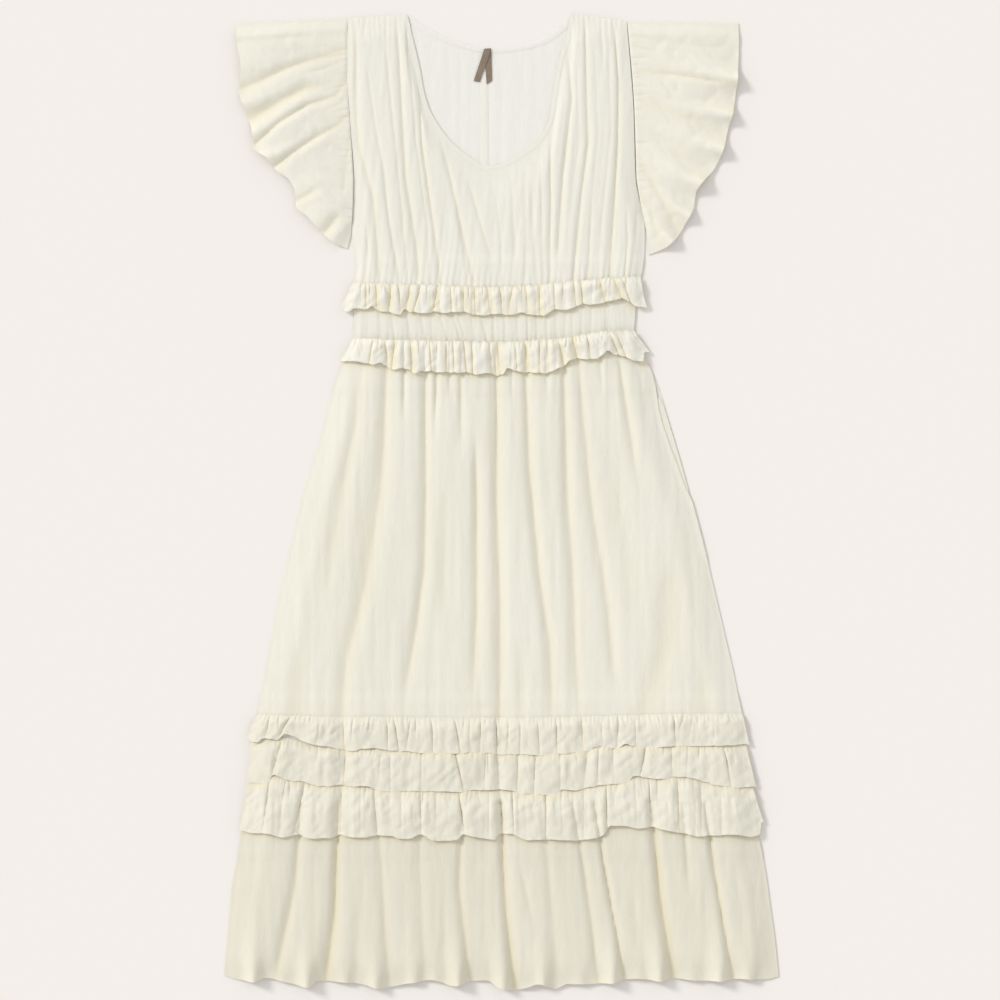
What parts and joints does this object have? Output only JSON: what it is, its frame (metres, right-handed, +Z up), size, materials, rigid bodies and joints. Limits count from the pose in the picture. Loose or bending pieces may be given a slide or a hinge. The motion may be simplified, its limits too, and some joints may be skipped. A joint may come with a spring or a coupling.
{
  "type": "gathered midi dress",
  "caption": "Ivory midi dress laid flat, with flutter sleeves, a scooped neck, gathered waistband between frills, a ruffled skirt and a wavy flounce hem",
  "frame": {"origin": "middle of the whole outline in plan, on the surface the dress lies on", "axes": "+X to the right of the lay-out (the wearer's left), +Y from the hem towards the neck, +Z up from the surface"},
  "size_m": [0.6826, 1.1988, 0.0222],
  "materials": {
    "dress_cloth": "matt ivory crinkled viscose gauze",
    "ribbon": "matt brown woven ribbon, bare"
  },
  "bodies": {
    "root": {"bodice_front": "dress_cloth", "bodice_back_left": "dress_cloth", "bodice_back_right": "dress_cloth", "centre_back_seam": "dress_cloth", "neck_binding_front": "dress_cloth", "neck_binding_back": "dress_cloth", "sleeve_left": "dress_cloth", "sleeve_right": "dress_cloth", "waistband_front": "dress_cloth", "waistband_back": "dress_cloth", "waist_frill_upper_front": "dress_cloth", "waist_frill_upper_back": "dress_cloth", "waist_frill_lower_front": "dress_cloth", "waist_frill_lower_back": "dress_cloth", "skirt_front": "dress_cloth", "skirt_back": "dress_cloth", "pocket_right": "dress_cloth", "ruffle_1_front": "dress_cloth", "ruffle_1_back": "dress_cloth", "ruffle_2_front": "dress_cloth", "ruffle_2_back": "dress_cloth", "ruffle_3_front": "dress_cloth", "ruffle_3_back": "dress_cloth", "flounce_front": "dress_cloth", "flounce_back": "dress_cloth", "neck_ribbon": "ribbon"}
  },
  "joints": []
}
